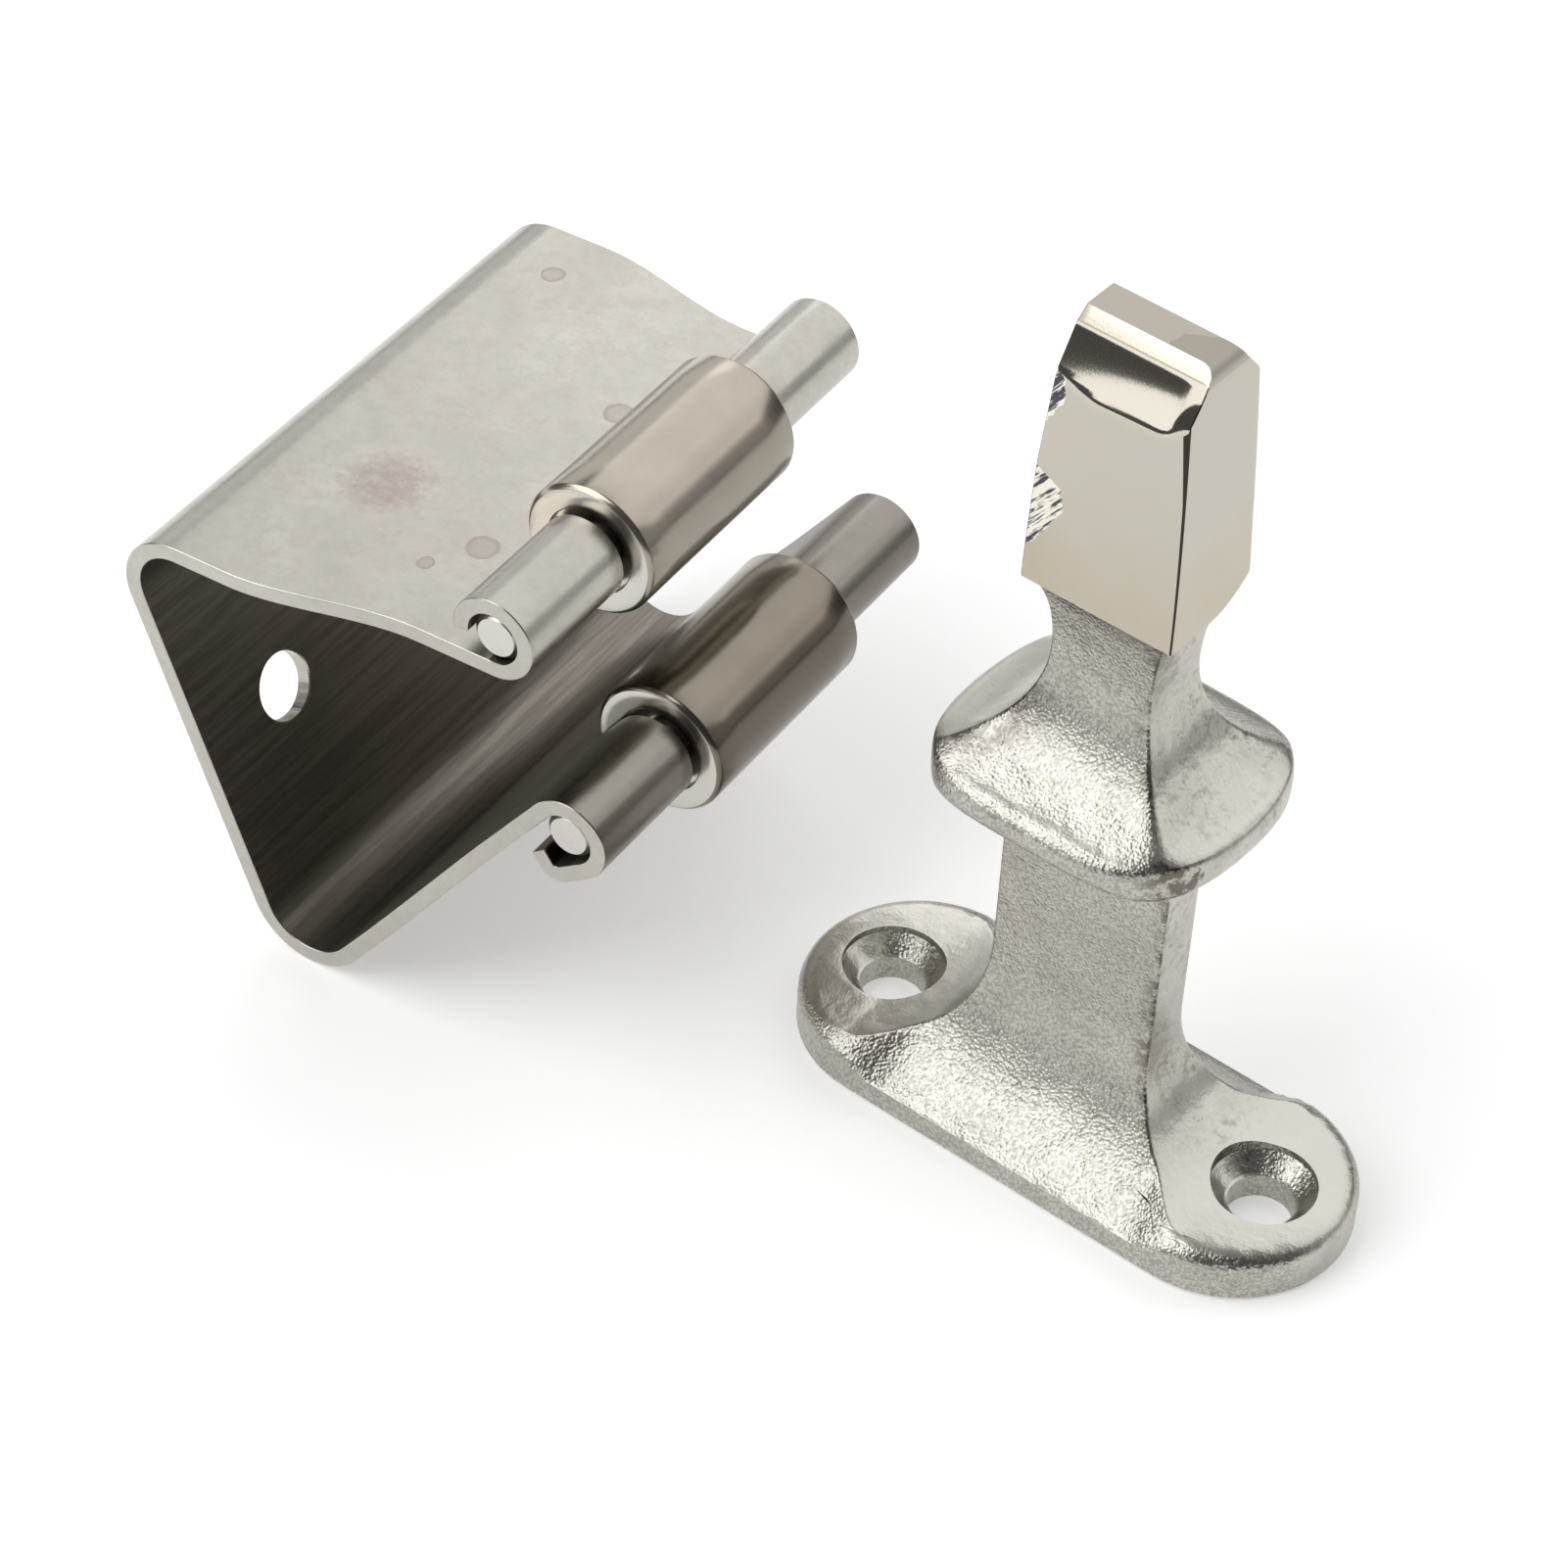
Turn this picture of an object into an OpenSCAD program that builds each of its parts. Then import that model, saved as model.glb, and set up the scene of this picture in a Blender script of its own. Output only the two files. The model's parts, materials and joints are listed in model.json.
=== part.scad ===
// Roller catch and strike that hold a gate or door.
// The origin is the middle of the strike's foot, on its underside. +Z is up
// along the strike, and +X runs along the line of its two screw holes.
// The spring clip lies beside the strike with its mouth facing the strike.

/* [Strike foot] */
// Length of the foot, over its round ends
foot_length = 48.8; // [46:0.1:60]
// Width of the foot
foot_width = 19.8; // [18:0.1:26]
// Thickness of the foot
foot_thickness = 4.2; // [3.5:0.1:6]
// Rounding of the foot's upper edge
foot_edge = 1.5; // [0.8:0.1:2.5]
// Distance between the two screw holes
screw_spacing = 35.2; // [33:0.1:36]
// Diameter of the screw holes
screw_hole = 5.2; // [4:0.1:5.5]
// Diameter of the countersinks
countersink = 8.2; // [7:0.1:9]

/* [Strike post] */
// Height of the whole strike
strike_height = 76; // [74:0.1:80]
// Width of the column between foot and collar
column_width = 14.8; // [13:0.1:17]
// Thickness of the column
column_thickness = 4.2; // [3.5:0.1:5.5]
// Height of the concave flare where the column meets the foot
flare_height = 10.3; // [9:0.1:14]
// Width of the collar along X
collar_width = 26.1; // [24:0.1:26.1]
// Width of the collar along Y
collar_depth = 21.9; // [20:0.1:24]
// Height of the collar's rim above the foot's underside
collar_height = 36.3; // [34:0.1:37]
// Diameter of the circle that rounds the corners of the collar
collar_corner_circle = 26.2; // [26.1:0.1:28]
// Width of the neck that the rollers close on
neck_width = 8.8; // [8:0.1:10]
// Thickness of the neck
neck_thickness = 6; // [5:0.1:6.3]
// Height of the head's lower edge
head_bottom = 53.4; // [52:0.1:55]
// Width of the head at its lower edge
head_width = 12.9; // [11.5:0.1:14]
// Thickness of the head at its lower edge
head_thickness = 9.2; // [8:0.1:10.5]
// Width of the head at its shoulder
shoulder_width = 10.9; // [9:0.1:11.5]
// Thickness of the head at its shoulder
shoulder_thickness = 4.6; // [4:0.1:6]

/* [Clip sheet] */
// Width of the sheet at the back plate and the bends
sheet_width = 49.6; // [46:0.5:54]
// Width of the sheet at the pins
sheet_end_width = 44; // [40:0.5:46]
// Distance from the back plate at which the sheet starts to narrow
taper_start = 12; // [10:0.5:16]
// Distance from the back plate at which the sheet has narrowed
taper_end = 25; // [20:0.5:26]
// Thickness of the sheet
sheet_thickness = 1.4; // [1:0.1:1.5]
// Height of the upper bend's centre above the middle of the mouth
upper_bend_height = 11.8; // [11:0.1:14]
// Radius of the upper bend, to the middle of the sheet
upper_bend_radius = 4.2; // [3:0.1:5]
// Depth of the lower bend's centre below the middle of the mouth
lower_bend_depth = 16.8; // [15:0.1:19]
// Radius of the lower bend, to the middle of the sheet
lower_bend_radius = 4.8; // [4:0.1:6]
// Angle that the upper arm's end curls round its pin
upper_wrap = 275; // [240:5:290]
// Angle that the lower arm's end curls round its pin
lower_wrap = 212; // [206:2:218]
// Straight length of the lip under the lower curl, before its end turns up
lower_lip = 2.2; // [1.8:0.1:2.6]
// Diameter of the back plate's screw holes
plate_hole = 5.6; // [4.5:0.1:6]
// Distance between the back plate's screw holes
plate_hole_spacing = 30; // [26:0.5:34]
// Depth of the back plate's screw holes below the middle of the mouth
plate_hole_depth = 2.7; // [1:0.1:5]

/* [Rollers and pins] */
// Distance from the back plate's outer face to the rollers' axes
roller_reach = 33; // [32:0.5:38]
// Distance between the axes of the two rollers
roller_spacing = 17.7; // [17.2:0.1:20]
// Diameter of the rollers
roller_diameter = 11.3; // [10.5:0.1:12]
// Length of the rollers
roller_length = 19.6; // [18:0.1:21]
// Diameter of the recess in each end of a roller
recess_diameter = 7.4; // [5:0.1:9]
// Diameter of the pins
pin_diameter = 4; // [3.6:0.1:4.2]

/* [Clip place] */
// Tilt of the clip, mouth up
clip_tilt = 22.3; // [10:0.1:30]
// Turn of the clip about the vertical
clip_turn = 5.8; // [0:0.1:12]
// Distance of the back plate from the strike, along X
clip_distance = 68.9; // [64:0.1:90]
// Offset of the clip's middle from the strike, along Y
clip_offset = -3.3; // [-8:0.1:8]

/* [Hidden] */
$fn = 96;
curve_steps = 8;
overcut = 1;
X = 0;
Y = 1;

cast_colour = [0.74, 0.73, 0.68];
sheet_colour = [0.78, 0.77, 0.72];
pin_colour = [0.83, 0.82, 0.78];
roller_colour = [0.70, 0.69, 0.63];

// Strike: half sizes of each level, along X and along Y
column_half = [column_width, column_thickness] / 2;
collar_half = [collar_width, collar_depth] / 2;
neck_half = [neck_width, neck_thickness] / 2;
head_half = [head_width, head_thickness] / 2;
shoulder_half = [shoulder_width, shoulder_thickness] / 2;
crown_height = 1.1;
crown_inset = [0.15, 0.8];
crown_half = shoulder_half - crown_inset;

// Foot: its long edges slope down from the middle, and the slopes turn away at the ends
foot_slope_height = 2;
foot_slope_half = 6.8;
foot_slope_reach = 11.4;
foot_slope_turn = 29;
sink_wall = 0.5;

// Flare from the foot to the column, which starts just under the foot's surface
flare_start_inset = [0.3, 0.5];
flare_level = [
    [screw_spacing / 2 - flare_start_inset.x, foot_thickness - 0.1],
    [foot_width / 2 - flare_start_inset.y, foot_slope_height + 0.2]
];
flare_bend = foot_thickness * [1, 1] + [0.4, 2.3];
flare_top = foot_thickness + flare_height;

// Collar: a round underside, a round rim and a slope that bends up into the neck
rim_radius = 1.5;
rim_half = collar_half - [rim_radius, rim_radius];
collar_underside = 3;
rim_turn = 73;
collar_slope_start = collar_height + rim_radius * sin(rim_turn);
collar_slope_half = rim_half + rim_radius * cos(rim_turn) * [1, 1];
collar_bend_rise = 2;

// Head: a round underside, swelling sides and a hollow ground below the shoulder
head_underside = 6;
neck_height = head_bottom - head_underside;
head_edge = 0.1;
head_swell = 1.6;
hollow_inset = 0.3;
hollow_drop = 4.8;
shoulder_height = strike_height - crown_height;

// Clip: gaps, and sizes that follow from the sheet, the pins and the rollers
running_gap = 0.07;
curl_gap = 0.15;
joining_overlap = 0.1;
joining_angle = 1;
half_sheet = sheet_thickness / 2;
curl_radius = pin_diameter / 2 + curl_gap + half_sheet;
notch_width = roller_length + 1;
notch_start = roller_reach - roller_diameter / 2 - 0.8;
recess_depth = 0.5;
hook_radius = 1.1;
hook_angle = 78;
hook_end = 0.8;
end_chamfer = 0.4;
axis_height = roller_spacing / 2;

// The tilted clip stands on its lower bend, so its height follows from the tilt
clip_height = lower_bend_radius + half_sheet
    - (half_sheet + lower_bend_radius) * sin(clip_tilt)
    + lower_bend_depth * cos(clip_tilt);

// Quarter ellipse that leaves one point upright and arrives at the other level
function spread(upright, level) = [
    for (i = [0 : curve_steps])
        let (turn = 90 * i / curve_steps)
        [
            upright.x + (level.x - upright.x) * (1 - cos(turn)),
            level.y + (upright.y - level.y) * (1 - sin(turn))
        ]
];

// Concave flare from its level end to its upright end, which it leaves upright; the
// level end points at the bend's height on the upright
function flare(level, bend, upright) = [
    for (i = [0 : curve_steps])
        let (share = 1 - i / curve_steps)
        [
            upright.x + (level.x - upright.x) * share ^ 2,
            upright.y * (1 - share) ^ 2 + 2 * bend * share * (1 - share) + level.y * share ^ 2
        ]
];

// Arc that bulges outwards, from its lowest point up to where the collar's slope starts
function bulge(centre, radius) = [
    for (i = [0 : curve_steps])
        let (turn = (90 + rim_turn) * i / curve_steps - 90)
        centre + radius * [cos(turn), sin(turn)]
];

// Side of the head, which swells outwards between its lower edge and its shoulder
function swell(lower, upper) = [
    for (i = [0 : curve_steps])
        let (rise = i / curve_steps)
        [lower.x + (upper.x - lower.x) * rise ^ head_swell, lower.y + (upper.y - lower.y) * rise]
];

// Side of the head up to its shoulder; along Y it is ground hollow below the shoulder
function head_side(axis) = axis == X
    ? swell([head_half.x, head_bottom + head_edge], [shoulder_half.x, shoulder_height])
    : [
        [head_half.y, head_bottom + head_edge],
        [head_half.y - hollow_inset, strike_height - hollow_drop],
        [shoulder_half.y, shoulder_height]
    ];

// Right half of the strike's outline, seen with the X or the Y axis level
function half_outline(axis) = concat(
    [[0, 0], [flare_level[axis].x, 0]],
    flare(flare_level[axis], flare_bend[axis], [column_half[axis], flare_top]),
    spread(
        [column_half[axis], collar_height - rim_radius - collar_underside],
        [rim_half[axis], collar_height - rim_radius]
    ),
    bulge([rim_half[axis], collar_height], rim_radius),
    flare(
        [collar_slope_half[axis], collar_slope_start],
        collar_slope_start + collar_bend_rise,
        [neck_half[axis], neck_height]
    ),
    spread([neck_half[axis], neck_height], [head_half[axis], head_bottom]),
    head_side(axis),
    [[crown_half[axis], strike_height], [0, strike_height]]
);

// The outline along one axis, drawn out into an upright slab
module outline_slab(axis) {
    rotate([90, 0, axis == X ? 0 : 90])
        linear_extrude(foot_length, center = true) {
            polygon(half_outline(axis));
            mirror([1, 0]) polygon(half_outline(axis));
        }
}

// Half of the foot's cross-section, with its rounded upper edge
module foot_section() {
    half = foot_width / 2;
    square([half, foot_thickness - foot_edge]);
    square([half - foot_edge, foot_thickness]);
    translate([half - foot_edge, foot_thickness - foot_edge]) circle(foot_edge);
}

// What is cut away above a slope of the foot, over a length along X
module slope_cutter(length) {
    rotate([90, 0, 90])
        linear_extrude(length)
            polygon([
                [foot_slope_half, foot_thickness],
                [foot_width / 2, foot_slope_height],
                [foot_width, foot_slope_height],
                [foot_width, 2 * foot_thickness],
                [foot_slope_half, 2 * foot_thickness]
            ]);
}

// What is cut away along the foot's whole +Y side
module long_edge_cutter() {
    translate([-foot_slope_reach, 0, 0]) slope_cutter(2 * foot_slope_reach);
    for (end = [0, 1])
        mirror([end, 0, 0])
            translate([foot_slope_reach, foot_slope_half, 0])
                rotate(foot_slope_turn)
                    translate([0, -foot_slope_half, 0])
                        slope_cutter(foot_width / 2);
}

module foot_solid() {
    difference() {
        foot_bar();
        for (side = [0, 1])
            mirror([0, side, 0]) long_edge_cutter();
    }
}

module foot_bar() {
    end_distance = (foot_length - foot_width) / 2;
    for (side = [-1, 1])
        translate([side * end_distance, 0, 0])
            rotate_extrude() intersection() {
                foot_section();
                square([foot_width, foot_thickness]);
            }
    rotate([90, 0, 90])
        linear_extrude(2 * end_distance, center = true) {
            foot_section();
            mirror([1, 0]) foot_section();
        }
}

// Countersunk through hole, standing at the origin
module countersunk_hole() {
    sink_depth = (countersink - screw_hole) / 2;
    cone_bottom = foot_thickness - sink_wall - sink_depth;
    translate([0, 0, -overcut])
        cylinder(h = foot_thickness, d = screw_hole);
    translate([0, 0, cone_bottom])
        cylinder(h = sink_depth, d1 = screw_hole, d2 = countersink);
    translate([0, 0, foot_thickness - sink_wall])
        cylinder(h = sink_wall + 2 * overcut, d = countersink);
}

module strike_post() {
    color(cast_colour) difference() {
        union() {
            foot_solid();
            intersection() {
                outline_slab(X);
                outline_slab(Y);
                union() {
                    cylinder(h = flare_top, d = 2 * foot_length);
                    cylinder(h = strike_height, d = collar_corner_circle);
                }
            }
        }
        for (side = [-1, 1])
            translate([side * screw_spacing / 2, 0, 0]) countersunk_hole();
    }
}

// Clip frame: x leaves the back plate's outer face, y runs along the rollers,
// and z is up from the middle of the mouth
module in_clip_frame() {
    translate([-clip_distance, clip_offset, clip_height])
        rotate([0, -clip_tilt, clip_turn])
            children();
}

// Turns a flat x-z outline into a solid of the given width along y
module across_clip(width) {
    translate([0, width / 2, 0])
        rotate([90, 0, 0])
            linear_extrude(width) children();
}

// Pie slice from one angle to another, up to 180 degrees
module slice(from_angle, to_angle) {
    reach = 4 * upper_bend_radius;
    polygon([
        [0, 0],
        for (share = [0 : 0.25 : 1])
            let (angle = from_angle + (to_angle - from_angle) * share)
            reach * [cos(angle), sin(angle)]
    ]);
}

// Stretch of bent sheet, from one angle to another about the origin, and a
// little past both to join what comes before and after
module bent_strip(radius, from_angle, to_angle) {
    intersection() {
        difference() {
            circle(radius + half_sheet);
            circle(radius - half_sheet);
        }
        slice(from_angle - joining_angle, to_angle + joining_angle);
    }
}

// Straight stretch that carries on from a bend of the given radius, along y
module straight_strip(radius, length) {
    translate([radius - half_sheet, -joining_overlap])
        square([sheet_thickness, length + 2 * joining_overlap]);
}

// Outline of an arm that starts upwards from the back plate: its hinge bead,
// its bend, its straight run, the curl round its pin and, if hooked, a lip that turns up
module arm_outline(bend_height, bend_radius, wrap, lip, hook) {
    bend_centre = [half_sheet + bend_radius, bend_height];
    pin_centre = [roller_reach, axis_height];
    between = pin_centre - bend_centre;
    distance = norm(between);
    slope = atan2(between.y, between.x) - asin((bend_radius + curl_radius) / distance);
    run = sqrt(distance ^ 2 - (bend_radius + curl_radius) ^ 2);
    curl_start = slope - 90;
    curl_end = curl_start + wrap;

    translate([half_sheet, bend_height]) circle(half_sheet);
    translate(bend_centre) {
        bent_strip(bend_radius, slope + 90, 180 - joining_angle);
        rotate(slope)
            translate([-joining_overlap, bend_radius - half_sheet])
                square([run + 2 * joining_overlap, sheet_thickness]);
    }
    translate(pin_centre) {
        bent_strip(curl_radius, curl_start, curl_start + wrap / 2);
        bent_strip(curl_radius, curl_start + wrap / 2, curl_end);
        rotate(curl_end) {
            straight_strip(curl_radius, lip);
            if (hook > 0)
                translate([curl_radius - hook_radius, lip]) {
                    bent_strip(hook_radius, 0, hook);
                    rotate(hook) straight_strip(hook_radius, hook_end);
                }
        }
    }
}

// Plan of the sheet, which narrows from the bends to the pins
module plan() {
    side = [
        [-overcut, sheet_width / 2],
        [taper_start, sheet_width / 2],
        [taper_end, sheet_end_width / 2],
        [2 * roller_reach, sheet_end_width / 2]
    ];
    polygon(concat(side, [for (i = [len(side) - 1 : -1 : 0]) [side[i].x, -side[i].y]]));
}

// An arm, narrowed towards its end and notched for its roller
module arm(bend_height, bend_radius, wrap, lip, hook) {
    difference() {
        intersection() {
            across_clip(sheet_width) arm_outline(bend_height, bend_radius, wrap, lip, hook);
            linear_extrude(2 * roller_reach)
                plan();
        }
        translate([notch_start, -notch_width / 2, 0])
            cube([roller_reach, notch_width, 2 * roller_spacing]);
    }
}

module clip_back_plate() {
    color(sheet_colour) in_clip_frame() difference() {
        across_clip(sheet_width)
            difference() {
                translate([0, -lower_bend_depth])
                    square([sheet_thickness, lower_bend_depth + upper_bend_height]);
                for (end_height = [-lower_bend_depth, upper_bend_height])
                    translate([half_sheet, end_height]) circle(half_sheet + running_gap);
            }
        for (side = [-1, 1])
            translate([-overcut, side * plate_hole_spacing / 2, -plate_hole_depth])
                rotate([0, 90, 0])
                    cylinder(h = sheet_thickness + 2 * overcut, d = plate_hole);
    }
}

module clip_arm_upper() {
    color(sheet_colour) in_clip_frame()
        arm(upper_bend_height, upper_bend_radius, upper_wrap, 0, 0);
}

module clip_arm_lower() {
    color(sheet_colour) in_clip_frame() mirror([0, 0, 1])
        arm(lower_bend_depth, lower_bend_radius, lower_wrap, lower_lip, hook_angle);
}

// Places a turned piece on the upper (1) or the lower (-1) axis, lying along y
module on_roller_axis(side) {
    in_clip_frame()
        translate([roller_reach, 0, side * axis_height])
            rotate([90, 0, 0])
                children();
}

// Round bar, chamfered at both ends, centred on the origin
module chamfered_bar(length, diameter) {
    radius = diameter / 2;
    end = length / 2;
    rotate_extrude() polygon([
        [0, -end],
        [radius - end_chamfer, -end],
        [radius, -end + end_chamfer],
        [radius, end - end_chamfer],
        [radius - end_chamfer, end],
        [0, end]
    ]);
}

module pin(side) {
    color(pin_colour) on_roller_axis(side)
        chamfered_bar(sheet_end_width, pin_diameter);
}

module roller(side) {
    color(roller_colour) on_roller_axis(side) difference() {
        chamfered_bar(roller_length, roller_diameter);
        cylinder(
            h = roller_length + 2 * overcut,
            d = pin_diameter + 2 * running_gap,
            center = true
        );
        for (end = [-1, 1])
            translate([0, 0, end * (roller_length / 2 - recess_depth / 2 + overcut / 2)])
                cylinder(h = recess_depth + overcut, d = recess_diameter, center = true);
    }
}

module pin_upper() {
    pin(1);
}

module pin_lower() {
    pin(-1);
}

module roller_upper() {
    roller(1);
}

module roller_lower() {
    roller(-1);
}

strike_post();
clip_back_plate();
clip_arm_upper();
clip_arm_lower();
pin_upper();
pin_lower();
roller_upper();
roller_lower();
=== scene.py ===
"""Roller catch: a bent sheet clip with two rollers, and a cast strike with a ground head."""

import itertools
import json
import math
from collections import namedtuple

import bmesh
import bpy
from mathutils import Matrix, Vector


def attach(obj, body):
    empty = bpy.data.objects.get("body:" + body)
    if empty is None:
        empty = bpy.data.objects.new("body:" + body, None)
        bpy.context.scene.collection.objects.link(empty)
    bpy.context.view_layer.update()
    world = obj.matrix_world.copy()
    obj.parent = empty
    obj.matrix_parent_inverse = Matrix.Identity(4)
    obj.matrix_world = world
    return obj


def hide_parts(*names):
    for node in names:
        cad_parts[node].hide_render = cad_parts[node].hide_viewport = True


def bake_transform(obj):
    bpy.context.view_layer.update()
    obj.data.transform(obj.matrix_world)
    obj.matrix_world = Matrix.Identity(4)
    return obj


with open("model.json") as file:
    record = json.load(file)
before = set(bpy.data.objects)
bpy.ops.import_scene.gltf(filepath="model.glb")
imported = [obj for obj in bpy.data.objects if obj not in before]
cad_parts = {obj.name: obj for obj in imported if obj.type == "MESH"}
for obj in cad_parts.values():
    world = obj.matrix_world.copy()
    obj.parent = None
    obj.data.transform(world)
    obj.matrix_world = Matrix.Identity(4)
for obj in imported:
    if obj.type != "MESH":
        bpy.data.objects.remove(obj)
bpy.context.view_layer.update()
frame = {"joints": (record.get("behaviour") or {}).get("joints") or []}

MM = 0.001

Size = namedtuple("Size", "x y")
Flare = namedtuple("Flare", "upright_size top bend level_size level")
Bend = namedtuple("Bend", "height radius")
Spot = namedtuple("Spot", "along y radius")

# Strike, in mm. A Size is half of what the casting measures along X and along Y.
FOOT_HALF_LENGTH = 24.4
FOOT_HALF_WIDTH = 9.9
FOOT_THICKNESS = 4.2
FOOT_CHAMFER = 0.25
FOOT_WALL = 1.4
FOOT_ROUNDING_START = 2.0
FOOT_EDGE = 1.5
# The foot's sloping front widens by this share between two distances from the middle
FOOT_SLOPE_SPREAD = (11.4, 17.0)
FOOT_SLOPE_GAIN = 0.45
HOLE_PLACES = (-17.6, 17.6)
HOLE_RADIUS = 2.6
SINK_RADIUS = 4.1
SINK_WALL = 0.5
# Steps that the cutter left in the countersink
SINK_STEPS = 6
STEP_WIDTH = 0.06
STEP_RISE = 0.04
STEP_DROP = 0.12

STRIKE_HEIGHT = 76.0
COLUMN = Size(7.4, 2.1)
COLUMN_CORNER = 0.3
COLLAR = Size(13.05, 10.95)
COLLAR_HEIGHT = 36.3
COLLAR_CIRCLE = 13.1
RIM_RADIUS = 1.5
RIM_CORNER = 2.8
RIM_STEPS = 12
# How far the rim goes round past level, in degrees, before the slope above it starts
COLLAR_SHOULDER = 73
COLLAR_UNDERSIDE = 3.0
SLOPE_CORNER = 0.25
SLOPE_CORNER_GAIN = 3.0
NECK = Size(4.4, 3.0)
NECK_HEIGHT = 47.4
NECK_CORNER = 0.2
# Half size and height of a flare's upright end, height of its bend, half size and height of
# its level end
FOOT_FLARE = Size(
    Flare(COLUMN.x, 14.5, 4.6, 17.3, 4.1),
    Flare(COLUMN.y, 15.5, 6.5, 9.6, 2.2),
)
COLLAR_FLARE = Size(
    Flare(NECK.x, NECK_HEIGHT, 39.7, 12.0, 37.7),
    Flare(NECK.y, NECK_HEIGHT, 39.9, 9.9, 37.7),
)

HEAD = Size(6.45, 4.6)
HEAD_BOTTOM = 53.4
HEAD_EDGE = 0.15
HEAD_TAPER = 1.6
HEAD_TOP_THICKNESS = 4.3
HEAD_CORNER = 0.12
SHOULDER = Size(5.45, 2.3)
SHOULDER_HEIGHT = 74.9
CROWN = Size(5.3, 1.5)
# The hollow gains thickness with depth below the shoulder, and with depth squared. Its slope
# steepens past a share of the way to the head's +X side, and its curve grows towards +X.
HOLLOW_SLOPE = 0.39
HOLLOW_CORNER = 2.4
HOLLOW_CORNER_START = 0.6
HOLLOW_CURVE = 0.028
HOLLOW_CURVE_GAIN = 0.012
# The head's -X side leans in above a height, and its back leans in all the way up
SIDE_LEAN = 0.1
SIDE_LEAN_START = 0.4
SIDE_LEAN_HEIGHT = 64
BACK_LEAN = 0.03
LEAN_BLEND = 3.0
TOP_ROUNDING = 1.5
TOP_ROUNDING_REACH = 1.1
BACK_EDGE_LIFT = 2.0

# Clip, in mm, in its own frame: x from the back plate, y along the rollers, z up
SHEET = 1.4
HALF_SHEET = SHEET / 2
SHEET_ROUNDING = 0.14
SEAM_MARGIN = 0.01
HALF_WIDTH = 24.8
HALF_END_WIDTH = 22.0
TAPER = (11.0, 25.5)
UPPER_BEND = Bend(11.8, 4.2)
LOWER_BEND = Bend(16.8, 4.8)
NOTCH_HALF = 10.3
PLATE_SEAM = 4.0
PLATE_HOLE_RADIUS = 2.8
PLATE_HOLE_SPREAD = 15.0
PLATE_HOLE_DEPTH = 2.7
PLATE_HOLE_BREAK = 0.12
ROLLER_RADIUS = 5.65
ROLLER_HALF_LENGTH = 9.8
ROLLER_AXIS = 8.85
ROLLER_REACH = 33.0
BORE_RADIUS = 2.08
RECESS_RADIUS = 3.65
RECESS_DEPTH = 0.5
NOTCH_CLEARANCE = 0.8
NOTCH_START = ROLLER_REACH - ROLLER_RADIUS - NOTCH_CLEARANCE
CURL_RADIUS = 2.85
PIN_RADIUS = 1.96
PIN_HALF_LENGTH = 21.6
# How far the chamfer goes in from the pin's side, and along it
PIN_CHAMFER = (0.35, 0.3)
PIN_DOME = 0.05
# How far each pin rests below the middle of its curl
PIN_DROP = 0.1
# How each arm ends, as moves for walk(): round its pin, and for the lower one a lip that turns up
UPPER_CURL = [(CURL_RADIUS, 276)]
LOWER_CURL = [(CURL_RADIUS, 198), (2.4, None), (1.05, 88), (1.3, None)]
STRAIGHT_STEP = 0.8
CURVE_STEP = 6
# Distances from the back plate between which the sheet flexes with its arm; here they only give
# two points, and nothing bends the sheet
FLEX_START = SHEET
FLEX_END = 9.0

# Dried water spots and a stain: distance along the upper arm's outer face, distance from its
# middle, and radius. Then x and z where that face starts, and its slope.
SPOTS = (
    Spot(19.1, -11.7, 1.3),
    Spot(18.2, 7.4, 1.2),
    Spot(3.6, 19.4, 1.0),
    Spot(16.6, -15.6, 0.8),
)
STAIN = Spot(8.5, -9.5, 4.2)
ARM_START = (6.6, 16.4)
ARM_SLOPE = math.radians(-20.4)
# Turn about z that brings the clip's y along the rollers
CLIP_TURN = math.radians(5.8)

joints = {joint["name"]: joint for joint in frame["joints"]}


def joint_place(name):
    """Point that a joint turns about."""
    return Vector(joints[name]["pos_m"])


# The clip's axes follow from its hinges and its rollers
clip_along = Vector(joints["roller_upper_spin"]["axis"]).normalized()
clip_up = (joint_place("arm_upper_flex") - joint_place("arm_lower_flex")).normalized()
clip_out = clip_along.cross(clip_up)
clip_origin = (
    joint_place("arm_lower_flex") + clip_up * LOWER_BEND.height * MM - clip_out * HALF_SHEET * MM
)


def from_clip(x, y, z):
    """Point in the row frame, in metres, of a point in the clip's frame, in mm."""
    return clip_origin + (clip_out * x + clip_along * y + clip_up * z) * MM


def on_upper_arm(spot):
    """Middle of a spot on the upper arm's outer face."""
    start_x, start_z = ARM_START
    x = start_x + spot.along * math.cos(ARM_SLOPE)
    z = start_z + spot.along * math.sin(ARM_SLOPE)
    return from_clip(x, spot.y, z)


def from_strike(x, y, z):
    """Point in the row frame, in metres, of a point of the strike, in mm."""
    return Vector((x, y, z)) * MM


# ---------------------------------------------------------------- meshes

WELD_DISTANCE = 1e-7
SHARP_EDGE = math.radians(50)


def build(name, points, faces):
    """A mesh object with outward normals from points in metres and faces of point numbers."""
    mesh = bpy.data.meshes.new(name)
    mesh.from_pydata([tuple(p) for p in points], [], faces)
    shape = bmesh.new()
    shape.from_mesh(mesh)
    bmesh.ops.remove_doubles(shape, verts=shape.verts, dist=WELD_DISTANCE)
    bmesh.ops.recalc_face_normals(shape, faces=shape.faces)
    shape.to_mesh(mesh)
    shape.free()
    made = bpy.data.objects.new(name, mesh)
    bpy.context.scene.collection.objects.link(made)
    return made


def settle(made):
    """Makes the object's modifiers permanent."""
    bpy.context.view_layer.update()
    evaluated = made.evaluated_get(bpy.context.evaluated_depsgraph_get())
    mesh = bpy.data.meshes.new_from_object(evaluated)
    made.modifiers.clear()
    made.data = mesh


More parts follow.
